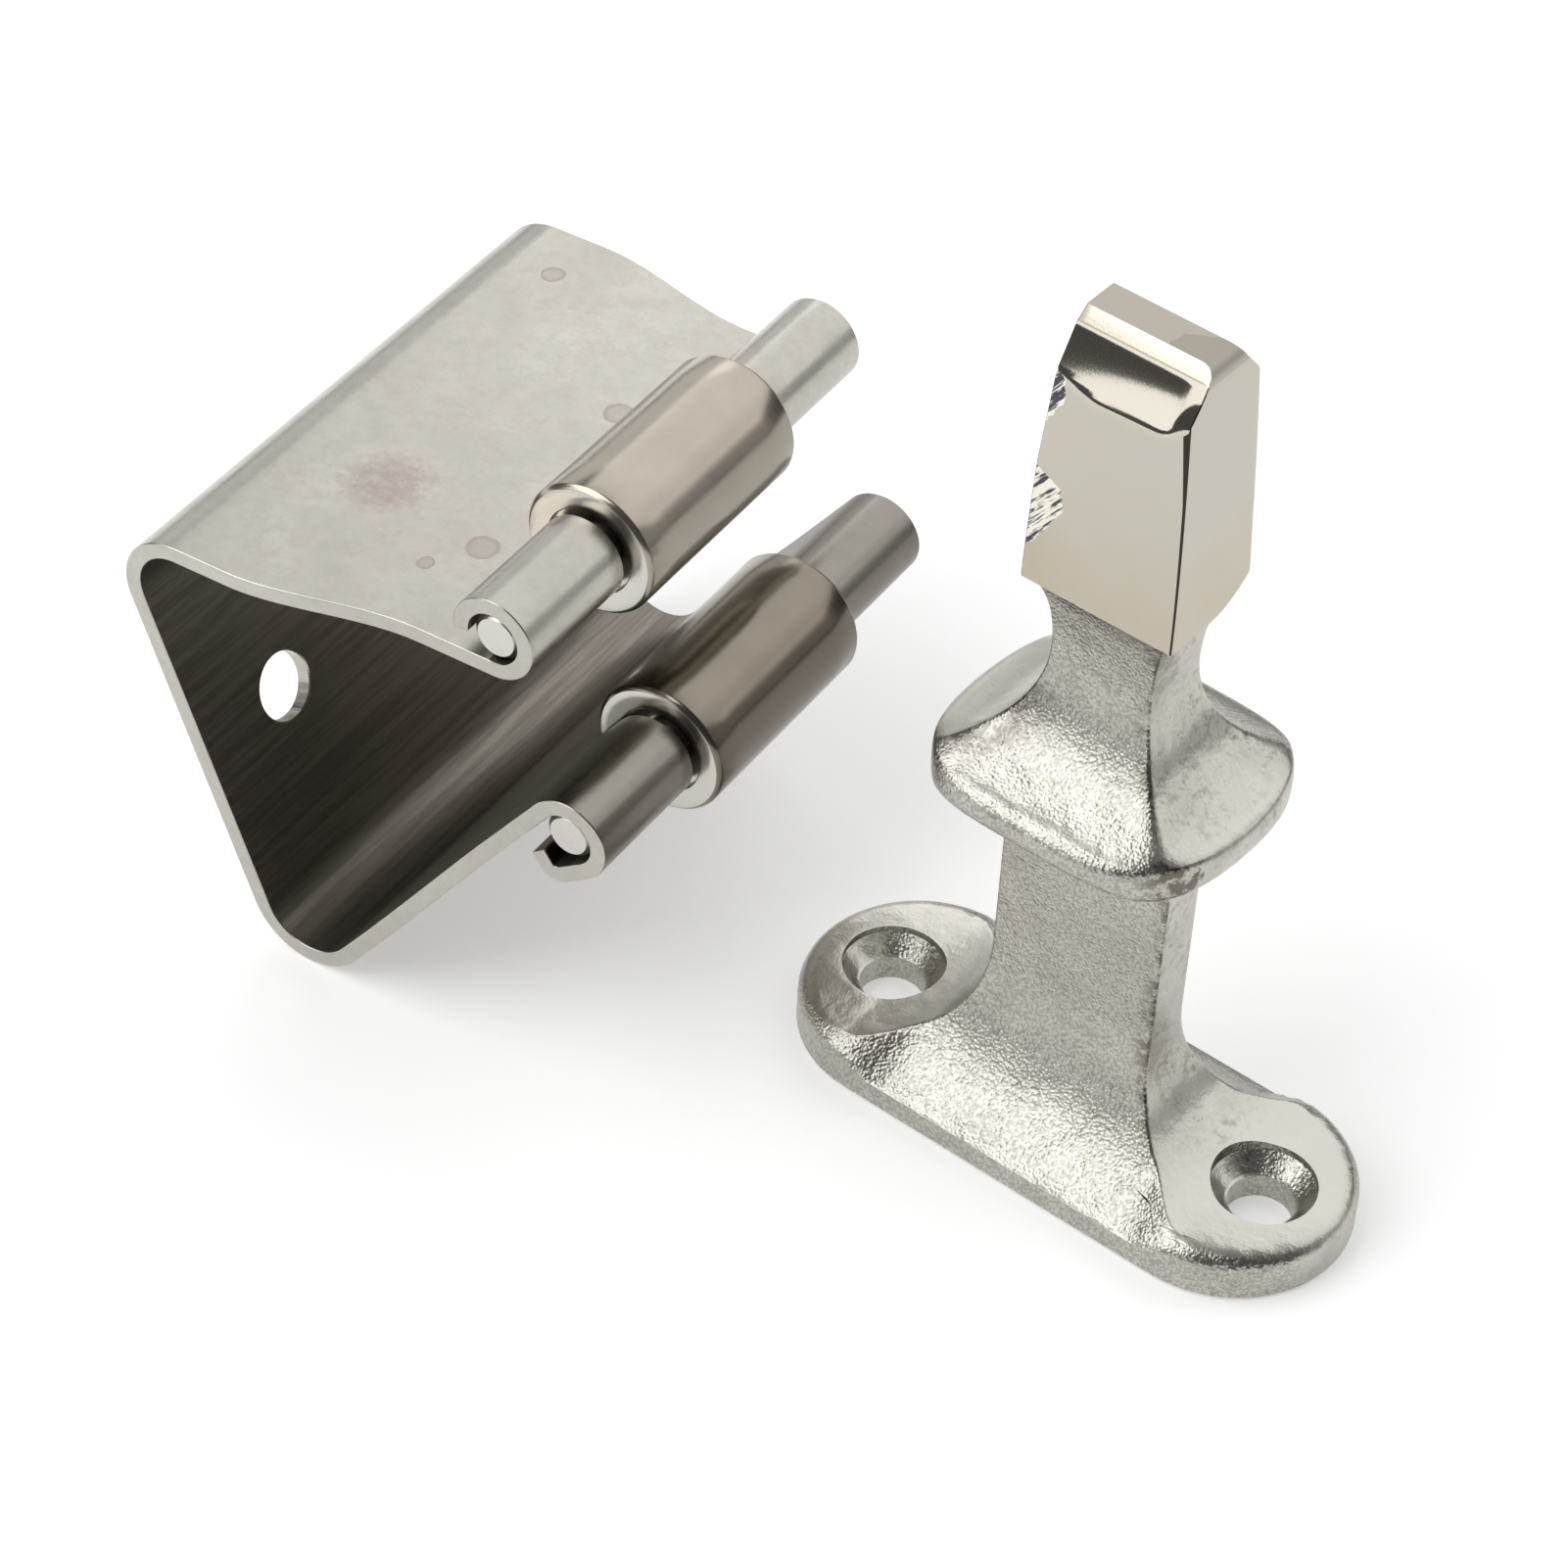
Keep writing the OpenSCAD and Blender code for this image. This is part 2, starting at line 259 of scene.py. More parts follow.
def cut(made, cutter):
    """Cuts the cutter out of the object, and removes the cutter."""
    step = made.modifiers.new("cut", "BOOLEAN")
    step.operation = "DIFFERENCE"
    step.solver = "EXACT"
    step.object = cutter
    settle(made)
    bpy.data.objects.remove(cutter)


def round_edges(made, width, segments, chosen):
    """Rounds the sharp edges that have a chosen end."""
    shape = bmesh.new()
    shape.from_mesh(made.data)
    layer = shape.edges.layers.float.new("bevel_weight_edge")
    for edge in shape.edges:
        sharp = len(edge.link_faces) == 2 and edge.calc_face_angle(0) > SHARP_EDGE
        wanted = any(chosen(vert.co) for vert in edge.verts)
        edge[layer] = 1.0 if sharp and wanted else 0.0
        edge.smooth = wanted or not sharp
    shape.to_mesh(made.data)
    shape.free()
    step = made.modifiers.new("round", "BEVEL")
    step.width = width * MM
    step.segments = segments
    step.limit_method = "WEIGHT"
    step.harden_normals = True
    for face in made.data.polygons:
        face.use_smooth = True
    settle(made)


def shade(made, angle):
    """Smooth shading that breaks at edges sharper than the angle, in degrees."""
    for face in made.data.polygons:
        face.use_smooth = True
    made.data.set_sharp_from_angle(angle=math.radians(angle))


def grid_faces(rows, columns):
    """Quads between the rows of a grid of points, joined round each row."""
    return [
        (
            i * columns + j,
            i * columns + (j + 1) % columns,
            (i + 1) * columns + (j + 1) % columns,
            (i + 1) * columns + j,
        )
        for i in range(rows - 1)
        for j in range(columns)
    ]


def loft(name, rings, place):
    """Solid through rings of flat points at rising heights, closed at both ends."""
    columns = len(rings[0][1])
    points = [place(x, y, z) for z, ring in rings for x, y in ring]
    faces = grid_faces(len(rings), columns)
    faces.append(tuple(range(columns)))
    faces.append(tuple(range(len(points) - columns, len(points))))
    return build(name, points, faces)


def lathe(name, profile, place, steps):
    """Solid turned from a profile of (radius, height), with place() giving each point's spot."""
    rings = []
    for radius, height in profile:
        turns = [2 * math.pi * k / steps for k in range(steps)]
        rings.append((height, [(radius * math.cos(t), radius * math.sin(t)) for t in turns]))
    return loft(name, rings, place)


# ---------------------------------------------------------------- strike

SIDE_POINTS = 24
CORNER_POINTS = 6


def rounded_rectangle(half_x, half_y, radius):
    """Points round a rectangle, the same number for every size."""
    ring = []
    corners = [(1, 1), (-1, 1), (-1, -1), (1, -1)]
    for index, (sx, sy) in enumerate(corners):
        centre = (sx * (half_x - radius), sy * (half_y - radius))
        arc = []
        for k in range(CORNER_POINTS + 1):
            turn = math.radians(90 * (index + k / CORNER_POINTS))
            arc.append((centre[0] + radius * math.cos(turn), centre[1] + radius * math.sin(turn)))
        if ring:
            ring += between(ring[-1], arc[0])
        ring += arc
    return ring + between(ring[-1], ring[0])


def between(start, end):
    """Evenly spread points from start to end, without those two."""
    return [
        tuple(a + (b - a) * k / SIDE_POINTS for a, b in zip(start, end))
        for k in range(1, SIDE_POINTS)
    ]


def kept_in_circle(ring, radius, hardness=14):
    """Draws the points softly inside a circle."""
    result = []
    for x, y in ring:
        share = math.hypot(x, y) / radius
        pull = (1 + share**hardness) ** (-1 / hardness)
        result.append((x * pull, y * pull))
    return result


def flare(level, upright, steps):
    """Quarter ellipse from a level point to an upright one, as (share of the way, height)."""
    turns = [math.radians(90 * k / steps) for k in range(steps + 1)]
    return [
        (1 - math.sin(t), level + (upright - level) * (1 - math.cos(t))) for t in turns
    ]


def mixed(outer, inner, share):
    """Blends two sizes, all outer at a share of 1."""
    return tuple(b + (a - b) * share for a, b in zip(outer, inner))


def flared(height, curve):
    """Half size at a height on a flare, which leaves its upright end straight down."""
    drop = curve.top - min(max(height, curve.level), curve.top)
    reach = curve.top - curve.bend
    sharpness = curve.top - 2 * curve.bend + curve.level
    share = (reach - math.sqrt(reach**2 - sharpness * drop)) / sharpness
    return curve.upright_size + (curve.level_size - curve.upright_size) * share**2


def spaced(start, end, steps, crowding=1.0):
    """Heights from start to end, closer together near the start if crowding is above 1."""
    return [start + (end - start) * (k / steps) ** crowding for k in range(steps + 1)]


def column_levels():
    """The flare from the foot's top up to the column."""
    return [
        (height, flared(height, FOOT_FLARE.x), flared(height, FOOT_FLARE.y), COLUMN_CORNER)
        for height in spaced(FOOT_THICKNESS, FOOT_FLARE.y.top, steps=22, crowding=1.7)
    ]


def collar_levels():
    """The collar's underside and its rim."""
    levels = []
    rim = Size(COLLAR.x - RIM_RADIUS, COLLAR.y - RIM_RADIUS)
    rim_bottom = COLLAR_HEIGHT - RIM_RADIUS
    for share, height in reversed(flare(rim_bottom, rim_bottom - COLLAR_UNDERSIDE, steps=10)):
        corner = COLUMN_CORNER + (RIM_CORNER - COLUMN_CORNER) * share
        levels.append((height, *mixed(rim, COLUMN, share), corner))
    for k in range(1, RIM_STEPS + 1):
        turn = math.radians((90 + COLLAR_SHOULDER) * k / RIM_STEPS - 90)
        swell = RIM_RADIUS * math.cos(turn)
        height = COLLAR_HEIGHT + RIM_RADIUS * math.sin(turn)
        levels.append((height, rim.x + swell, rim.y + swell, RIM_CORNER))
    return levels


def neck_levels():
    """The slope from the collar up into the neck, and the head's flared underside."""
    levels = []
    for height in spaced(COLLAR_FLARE.x.level, NECK_HEIGHT, steps=26, crowding=1.4)[1:]:
        half_x, half_y = (flared(height, curve) for curve in COLLAR_FLARE)
        share = (half_x - NECK.x) / (COLLAR.x - NECK.x)
        levels.append((height, half_x, half_y, SLOPE_CORNER + SLOPE_CORNER_GAIN * share**2))
    for share, height in reversed(flare(HEAD_BOTTOM, NECK_HEIGHT, steps=14)[:-1]):
        levels.append((height, *mixed(HEAD, NECK, share), NECK_CORNER))
    return levels


def head_levels():
    """The tapering head up to its shoulder, and the crown above that."""
    levels = []
    for height in spaced(HEAD_BOTTOM + HEAD_EDGE, SHOULDER_HEIGHT, steps=50):
        rise = (height - HEAD_BOTTOM) / (SHOULDER_HEIGHT - HEAD_BOTTOM)
        half_x = HEAD.x + (SHOULDER.x - HEAD.x) * rise**HEAD_TAPER
        half_y = HEAD.y + (HEAD_TOP_THICKNESS - HEAD.y) * rise
        levels.append((height, half_x, half_y, HEAD_CORNER))
    for height in spaced(SHOULDER_HEIGHT, STRIKE_HEIGHT, steps=8)[1:]:
        rise = (height - SHOULDER_HEIGHT) / (STRIKE_HEIGHT - SHOULDER_HEIGHT)
        levels.append((height, *mixed(CROWN, SHOULDER, rise), HEAD_CORNER))
    return levels


def strike_levels():
    """(height, half width, half thickness, corner radius) from the foot's top to the crown."""
    return column_levels() + collar_levels() + neck_levels() + head_levels()


def hollow_limit(across, depth):
    """Half thickness that the hollow leaves, at a depth below the shoulder."""
    slope = HOLLOW_SLOPE + HOLLOW_CORNER * max(0.0, across - HOLLOW_CORNER_START) ** 2
    curve = HOLLOW_CURVE + HOLLOW_CURVE_GAIN * across
    return SHOULDER.y + slope * depth + curve * depth**2


def head_lean(across, y, height):
    """How far the head's -X side and its back lean in, less near the middle of its sides."""
    lean = max(0.0, -across - SIDE_LEAN_START) * max(0.0, height - SIDE_LEAN_HEIGHT) * SIDE_LEAN
    if y > 0:
        lean += BACK_LEAN * (height - HEAD_BOTTOM)
    return lean * min(1.0, abs(y) / LEAN_BLEND)


def ground(x, y, height):
    """Grinds the head's hollow, leans in its -X side and its back, rounds its +X top and lifts
    the back ends of its lower edge."""
    if HEAD_BOTTOM + 1 < height <= SHOULDER_HEIGHT:
        across = x / SHOULDER.x
        thinned = abs(y) - head_lean(across, y, height)
        y = math.copysign(min(thinned, hollow_limit(across, SHOULDER_HEIGHT - height)), y)
    if height > STRIKE_HEIGHT - TOP_ROUNDING:
        rise = (height - STRIKE_HEIGHT + TOP_ROUNDING) / TOP_ROUNDING
        x = min(x, SHOULDER.x - TOP_ROUNDING_REACH * (1 - math.sqrt(1 - rise**2)))
    if y > 0 and height > NECK_HEIGHT:
        near = max(0.0, 1 - abs(height - HEAD_BOTTOM) / (HEAD_BOTTOM - NECK_HEIGHT))
        height += BACK_EDGE_LIFT * near * (y / HEAD.y) ** 2 * (x / HEAD.x) ** 4
    return x, y, height


def circle_limit(height):
    """Radius of the circle that rounds the collar's corners, too wide to matter elsewhere."""
    return COLLAR_CIRCLE if FOOT_FLARE.y.top < height < HEAD_BOTTOM else 10 * COLLAR_CIRCLE


def share_between(value, start, end):
    """How far a value is from start to end, from 0 to 1."""
    return min(max((value - start) / (end - start), 0), 1)


def slope_spread(x):
    """How much wider the foot's sloping front gets towards its ends."""
    return 1 + FOOT_SLOPE_GAIN * share_between(abs(x), *FOOT_SLOPE_SPREAD)


def kept_on_foot(x, y):
    """Draws a point in to the flat top of the foot."""
    middle = FOOT_HALF_LENGTH - FOOT_HALF_WIDTH
    past = max(abs(x) - middle, 0.0)
    share = math.hypot(past, y) / (FOOT_HALF_WIDTH - FOOT_EDGE)
    if share <= 1:
        return x, y
    return math.copysign(min(abs(x), middle) + past / share, x), y / share


def foot_point(across, along, height, inset):
    """Point on the foot's outline, for a place on the sides of a square from -1 to 1."""
    middle = FOOT_HALF_LENGTH - FOOT_HALF_WIDTH
    radius = FOOT_HALF_WIDTH - inset
    corner = FOOT_FLARE.x.level_size
    if abs(along) >= abs(across):
        x = across * corner
        y = math.copysign(math.sqrt(radius**2 - max(abs(x) - middle, 0.0) ** 2), along)
    else:
        turn = along * math.acos((corner - middle) / radius)
        x = math.copysign(middle + radius * math.cos(turn), across)
        y = radius * math.sin(turn)
    if height > FOOT_FLARE.y.level:
        limit = flared(height, FOOT_FLARE.y) * slope_spread(x)
        y = math.copysign(min(abs(y), limit), y)
    return x, y


def foot_rings():
    """The foot's outline from its underside to its top."""
    corner = Size(FOOT_FLARE.x.level_size, FOOT_FLARE.y.level_size)
    square = [
        (x / corner.x, y / corner.y)
        for x, y in rounded_rectangle(corner.x, corner.y, COLUMN_CORNER)
    ]
    levels = [(0.0, FOOT_CHAMFER), (FOOT_CHAMFER, 0.0), (FOOT_WALL, 0.0)]
    for height in spaced(FOOT_ROUNDING_START, FOOT_THICKNESS, steps=12):
        levels.append((height, edge_inset(height)))
    return [
        (height, [foot_point(u, v, height, inset) for u, v in square])
        for height, inset in levels
    ]


def edge_inset(height):
    """How far the foot's rounded edge has turned in at a height."""
    rise = max(0.0, height - FOOT_THICKNESS + FOOT_EDGE)
    return FOOT_EDGE - math.sqrt(max(FOOT_EDGE**2 - rise**2, 0.0))


def screw_hole(place_x):
    """Countersunk hole, with the small steps that its cutter left."""
    sink_top = FOOT_THICKNESS - SINK_WALL
    sink_bottom = sink_top - (SINK_RADIUS - HOLE_RADIUS)
    profile = [(HOLE_RADIUS, -1), (HOLE_RADIUS, sink_bottom)]
    for k in range(1, SINK_STEPS + 1):
        radius = HOLE_RADIUS + (SINK_RADIUS - HOLE_RADIUS) * k / SINK_STEPS
        height = sink_bottom + (sink_top - sink_bottom) * k / SINK_STEPS - STEP_DROP
        profile += [(radius - STEP_WIDTH, height - STEP_RISE), (radius, height)]
    profile += [(SINK_RADIUS, sink_top), (SINK_RADIUS, FOOT_FLARE.y.top)]
    return lathe("hole", profile, lambda x, y, z: from_strike(place_x + x, y, z), steps=96)


def strike():
    """The casting, from the foot to the head, with its two countersunk holes."""
    rings = foot_rings()
    for height, half_x, half_y, radius in strike_levels():
        ring = rounded_rectangle(half_x, half_y, radius)
        ring = kept_in_circle(ring, circle_limit(height))
        if height < FOOT_FLARE.y.top:
            ring = [kept_on_foot(x, y * slope_spread(x)) for x, y in ring]
        rings.append((height, ring))
    body = loft("strike_casting", rings, lambda x, y, z: from_strike(*ground(x, y, z)))
    for place_x in HOLE_PLACES:
        cut(body, screw_hole(place_x))
    shade(body, 32)
    return body


# ---------------------------------------------------------------- clip


def walk(start, heading, moves):
    """Follows straight and curved moves; gives each stop as (x, z, heading in degrees).

    A move is (length, None) for a straight one, or (radius, angle) for a curve that turns
    left by that angle, or right if it is negative."""
    x, z = start
    stops = [(x, z, heading)]
    for size, angle in moves:
        if angle is None:
            steps = max(1, round(size / STRAIGHT_STEP))
            turn, stride = 0.0, size / steps
        else:
            steps = max(4, round(abs(angle) / CURVE_STEP))
            turn = angle / steps
            stride = 2 * size * math.sin(math.radians(abs(turn) / 2))
        for _ in range(steps):
            x += stride * math.cos(math.radians(heading + turn / 2))
            z += stride * math.sin(math.radians(heading + turn / 2))
            heading += turn
            stops.append((x, z, heading))
    return stops


def half_width_at(x):
    """The sheet narrows smoothly from its bends to its pins."""
    share = share_between(x, *TAPER)
    share = share * share * (3 - 2 * share)
    return HALF_WIDTH + (HALF_END_WIDTH - HALF_WIDTH) * share


def arm_moves(bend, ending):
    """Moves round the bend at the top of the back plate, along the arm and round the pin."""
    dx = ROLLER_REACH - HALF_SHEET - bend.radius
    dz = ROLLER_AXIS - bend.height
    distance = math.hypot(dx, dz)
    radii = bend.radius + CURL_RADIUS
    slope = math.degrees(math.atan2(dz, dx) - math.asin(radii / distance))
    run = math.sqrt(distance**2 - radii**2)
    return [(bend.radius, slope - 90), (run, None), *ending]


# Places across each strip beside the notch, and across each half of the notch
SHARES = [k / 12 for k in range(13)]


def sheet_columns(half_width):
    """Places across the sheet, with one on each side of the notch."""
    outer = [NOTCH_HALF + (half_width - NOTCH_HALF) * s for s in SHARES]
    inner = [NOTCH_HALF * s for s in SHARES[:-1]]
    right = inner + outer
    return [-y for y in reversed(right[1:])] + right


def sheet_layers(stops, side):
    """Rows of points on each of the sheet's two faces."""
    layers = []
    for offset in (HALF_SHEET, -HALF_SHEET):
        rows = []
        for x, z, heading in stops:
            turn = math.radians(heading + 90)
            px, pz = x + offset * math.cos(turn), z + offset * math.sin(turn)
            rows.append([from_clip(px, y, side * pz) for y in sheet_columns(half_width_at(x))])
        layers.append(rows)
    return layers


def slab_faces(rows, columns, present):
    """Faces of a slab of two layers of points, closed round the grid cells that are present."""

    def number(layer, i, j):
        return (layer * rows + i) * columns + j

    faces = []
    for i, j in itertools.product(range(rows - 1), range(columns - 1)):
        if not present(i, j):
            continue
        corners = [(i, j), (i, j + 1), (i + 1, j + 1), (i + 1, j)]
        faces.append(tuple(number(0, *c) for c in corners))
        faces.append(tuple(number(1, *c) for c in reversed(corners)))
        nearby = [(i - 1, j), (i, j + 1), (i + 1, j), (i, j - 1)]
        for k, cell in enumerate(nearby):
            if present(*cell):
                continue
            a, b = corners[k], corners[(k + 1) % 4]
            faces.append((number(0, *a), number(1, *a), number(1, *b), number(0, *b)))
    return faces


def bent_sheet(name, start_height, side, bend, ending):
    """One arm of the sheet with its share of the back plate. Side is 1 above and -1 below."""
    straight = bend.height - start_height
    stops = walk((HALF_SHEET, start_height), 90, [(straight, None), *arm_moves(bend, ending)])
    layers = sheet_layers(stops, side)
    rows, columns = len(stops), len(layers[0][0])
    middle = (columns - 1) // 2
    notch = range(middle - len(SHARES) + 1, middle + len(SHARES) - 1)
    first_notch_row = next(i for i, stop in enumerate(stops) if stop[0] > NOTCH_START)

    def present(i, j):
        if not (0 <= i < rows - 1 and 0 <= j < columns - 1):
            return False
        return i < first_notch_row or j not in notch

    points = [p for layer in layers for row in layer for p in row]
    made = build(name, points, slab_faces(rows, columns, present))
    remove_loose(made)
    seam = start_height * side

    def off_the_seam(point):
        return abs((point - clip_origin).dot(clip_up) / MM - seam) > SEAM_MARGIN

    round_edges(made, SHEET_ROUNDING, 2, off_the_seam)
    return made


def remove_loose(made):
    """Removes points that no face uses."""
    shape = bmesh.new()
    shape.from_mesh(made.data)
    loose = [vert for vert in shape.verts if not vert.link_faces]
    bmesh.ops.delete(shape, geom=loose, context="VERTS")
    shape.to_mesh(made.data)
    shape.free()


def plate_hole(side):
    """Punched hole, a little wider where it breaks out of each face."""
    past = 1.0
    profile = [
        (PLATE_HOLE_RADIUS + past, -past),
        (PLATE_HOLE_RADIUS, PLATE_HOLE_BREAK),
        (PLATE_HOLE_RADIUS, SHEET - PLATE_HOLE_BREAK),
        (PLATE_HOLE_RADIUS + past, SHEET + past),
    ]

    def place(x, y, z):
        return from_clip(z, side * PLATE_HOLE_SPREAD + x, y - PLATE_HOLE_DEPTH)

    return lathe("plate_hole", profile, place, steps=64)


def on_axis(side, drop=0.0):
    """Gives the place of a turned piece's points on the upper (1) or lower (-1) roller axis."""
    return lambda x, y, z: from_clip(ROLLER_REACH + x, z, side * (ROLLER_AXIS - drop) + y)


def mirrored(half):
    """A turned piece's profile from its half, which runs up to the middle at height 0."""
    return half + [(radius, -height) for radius, height in reversed(half[:-1])]


def pin(name, side):
    """Turned pin with chamfered, slightly domed ends."""
    end = PIN_HALF_LENGTH
    chamfer, chamfer_length = PIN_CHAMFER
    half = [(0.02, -end - PIN_DOME), (PIN_RADIUS - chamfer, -end)]
    half += [(PIN_RADIUS, chamfer_length - end)]
    half += [(PIN_RADIUS, -end * k / 4) for k in (3, 2, 1, 0)]
    made = lathe(name, mirrored(half), on_axis(side, PIN_DROP), steps=96)
    shade(made, 25)
    return made


def roller(name, side):
    """Turned roller with chamfered, slightly domed ends and a shallow recess round the pin."""
    r, end = ROLLER_RADIUS, ROLLER_HALF_LENGTH
    half = [
        (BORE_RADIUS, 0.0),
        (BORE_RADIUS, end - RECESS_DEPTH),
        (RECESS_RADIUS, end - RECESS_DEPTH),
        (RECESS_RADIUS, end - 0.15),
        (RECESS_RADIUS + 0.1, end - 0.06),
        (r - 1.05, end - 0.02),
        (r - 0.4, end),
        (r - 0.32, end - 0.03),
        (r - 0.04, end - 0.34),
        (r, end - 0.45),
        (r, end * 0.66),
        (r, end * 0.33),
        (r, 0.0),
    ]
    loop = mirrored(half)[:-1]
    place = on_axis(side)
    steps = 128
    turns = [2 * math.pi * k / steps for k in range(steps)]
    points = [
        place(radius * math.cos(turn), radius * math.sin(turn), height)
        for radius, height in loop
        for turn in turns
    ]
    faces = grid_faces(len(loop), steps)
    last = (len(loop) - 1) * steps
    faces += [(last + k, last + (k + 1) % steps, (k + 1) % steps, k) for k in range(steps)]
    made = build(name, points, faces)
    shade(made, 28)
    return made


# ---------------------------------------------------------------- materials


REST_PLACE = "rest_place"

# Colours, as linear red, green and blue
CAST_DULL = (0.49, 0.475, 0.43)
CAST_BRIGHT = (0.60, 0.58, 0.525)
# Painted light on the casting's level faces
CAST_LEVEL_LIGHT = (0.62, 0.60, 0.55)
GRAIN_HOLLOW = (0.20, 0.19, 0.165)
CAST_SPECK = (0.20, 0.18, 0.15)
CAST_BLOTCH = (0.21, 0.18, 0.15)
# Painted dark reflections on the ridge and on the collar
RIDGE_DARK_REFLECTION = (0.16, 0.145, 0.12)
COLLAR_DARK_REFLECTION = (0.12, 0.11, 0.095)
HEAD_PLAIN = (0.51, 0.485, 0.435)
HEAD_STRAW = (0.475, 0.425, 0.325)
# Painted reflections and painted shade on the head
HEAD_EDGE_REFLECTION = (0.04, 0.035, 0.03)
CROWN_SHADE = (0.33, 0.30, 0.25)
TOP_SHADE = (0.40, 0.37, 0.32)
STREAK_DARK_REFLECTION = (0.07, 0.07, 0.08)
STREAK_BRIGHT_REFLECTION = (0.80, 0.76, 0.66)
SHEET_DULL = (0.47, 0.452, 0.405)
SHEET_BRIGHT = (0.515, 0.497, 0.45)
SHEET_MOTTLE = (0.38, 0.355, 0.315)
SPOT_RING = (0.32, 0.275, 0.25)
STAIN_BROWN = (0.36, 0.305, 0.265)
PIT_DARK = (0.13, 0.12, 0.10)
HAIRLINE = (0.34, 0.32, 0.28)
SHEET_CLOUD = (0.42, 0.385, 0.34)
# Painted shade on the clip sheet's inner faces, a little lighter along drawn lines
INSIDE_PAINTED_SHADE = (0.21, 0.19, 0.165)
INSIDE_SHADE_DRAWN_LINES = (0.30, 0.275, 0.24)
# Painted shade inside the curls and on the lower curl's outside
CURL_INSIDE_SHADE = (0.10, 0.09, 0.075)
LOWER_CURL_SHADE = (0.19, 0.17, 0.145)
CURL_UNDERSIDE_SHADE = (0.06, 0.05, 0.04)
UPPER_ROLLER = (0.42, 0.385, 0.325)
# The lower roller's tint is the same steel with painted shade, darker than the upper roller's
LOWER_ROLLER_SHADED = (0.24, 0.215, 0.175)
PIN_STEEL = (0.50, 0.49, 0.45)
TURNED_DIRT = (0.32, 0.30, 0.26)
TURNED_SHADE = (0.10, 0.085, 0.065)
# Painted highlight on the end faces of turned parts
TURNED_END_HIGHLIGHT = (0.60, 0.58, 0.54)


class Recipe:
    """A metal made of nodes, drawn from where each point is at rest, in metres."""

    def __init__(self, name, roughness, anisotropy=0.0):
        self.material = bpy.data.materials.new(name)
        self.material.use_nodes = True
        self.tree = self.material.node_tree
        self.shader = self.tree.nodes["Principled BSDF"]
        self.shader.inputs["Metallic"].default_value = 1.0
        self.shader.inputs["Roughness"].default_value = roughness
        self.shader.inputs["Anisotropic"].default_value = anisotropy
        kept_place = self.node("ShaderNodeAttribute", attribute_name=REST_PLACE)
        self.here = kept_place.outputs["Vector"]

    def node(self, kind, **settings):
        """A new node with the given settings."""
        made = self.tree.nodes.new(kind)
        for key, value in settings.items():
            setattr(made, key, value)
        return made

    def feed(self, socket, value):
        """Links a socket to another, or sets its value."""
        if isinstance(value, bpy.types.NodeSocket):
            self.tree.links.new(value, socket)
        else:
            socket.default_value = value

    def math(self, operation, a, b=0.0, clamp=False):
        made = self.node("ShaderNodeMath", operation=operation, use_clamp=clamp)
        self.feed(made.inputs[0], a)
        self.feed(made.inputs[1], b)
        return made.outputs[0]

    def plus(self, a, b):
        return self.math("ADD", a, b)

    def minus(self, a, b, clamp=False):
        return self.math("SUBTRACT", a, b, clamp)

    def times(self, a, b, clamp=False):
        return self.math("MULTIPLY", a, b, clamp)

    def over(self, a, b, clamp=False):
        return self.math("DIVIDE", a, b, clamp)

    def is_less(self, a, b):
        return self.math("LESS_THAN", a, b)

    def is_more(self, a, b):
        return self.math("GREATER_THAN", a, b)

    def unsigned(self, a):
        return self.math("ABSOLUTE", a)

    def stretched(self, factors, turn=(0.0, 0.0, 0.0)):
        """Coordinates turned and then stretched along each axis."""
        made = self.node("ShaderNodeMapping", vector_type="TEXTURE")
        self.feed(made.inputs["Vector"], self.here)
        made.inputs["Rotation"].default_value = turn
        made.inputs["Scale"].default_value = factors
        return made.outputs["Vector"]

    def noise(self, size, detail=2.0, roughness=0.5, vector=None):
        """Noise whose lumps measure about size, in mm."""
        made = self.node("ShaderNodeTexNoise")
        self.feed(made.inputs["Vector"], vector or self.here)
        made.inputs["Scale"].default_value = 1 / (size * MM)
        made.inputs["Detail"].default_value = detail
        made.inputs["Roughness"].default_value = roughness
        return made.outputs["Fac"]

    def cell(self, size, feature="F1"):
        """Distance from the nearest cell's centre, and a chance value for that cell.

        The feature SMOOTH_F1 rounds the distance where cells meet."""
        made = self.node("ShaderNodeTexVoronoi", feature=feature)
        self.feed(made.inputs["Vector"], self.here)
        made.inputs["Scale"].default_value = 1 / (size * MM)
        return made.outputs["Distance"], made.outputs["Color"]

    def ramp(self, value, *stops):
        """Piecewise blend through (position, grey or colour) stops."""
        made = self.node("ShaderNodeValToRGB")
        self.feed(made.inputs["Fac"], value)
        elements = made.color_ramp.elements
        while len(elements) < len(stops):
            elements.new(0.5)
        for element, (position, colour) in zip(elements, stops):
            element.position = position
            if not isinstance(colour, tuple):
                colour = (colour, colour, colour)
            element.color = (*colour, 1.0)
        return made.outputs["Color"]

    def mix(self, share, a, b):
        """Blend of two colours, all b at a share of 1."""
        made = self.node("ShaderNodeMix", data_type="RGBA")
        self.feed(made.inputs["Factor"], share)
        self.feed(made.inputs[6], a if isinstance(a, bpy.types.NodeSocket) else (*a, 1.0))
        self.feed(made.inputs[7], b if isinstance(b, bpy.types.NodeSocket) else (*b, 1.0))
        return made.outputs[2]

    def bump(self, height, depth, strength=1.0, normal=None):
        """Bump whose full height is depth, in mm."""
        made = self.node("ShaderNodeBump")
        made.inputs["Distance"].default_value = depth * MM
        self.feed(made.inputs["Strength"], strength)
        self.feed(made.inputs["Height"], height)
        if normal is not None:
            self.feed(made.inputs["Normal"], normal)
        return made.outputs["Normal"]

    def distance(self, place):
        """Distance from a point, in mm."""
        made = self.node("ShaderNodeVectorMath", operation="DISTANCE")
        self.feed(made.inputs[0], self.here)
        made.inputs[1].default_value = place
        return self.over(made.outputs["Value"], MM)

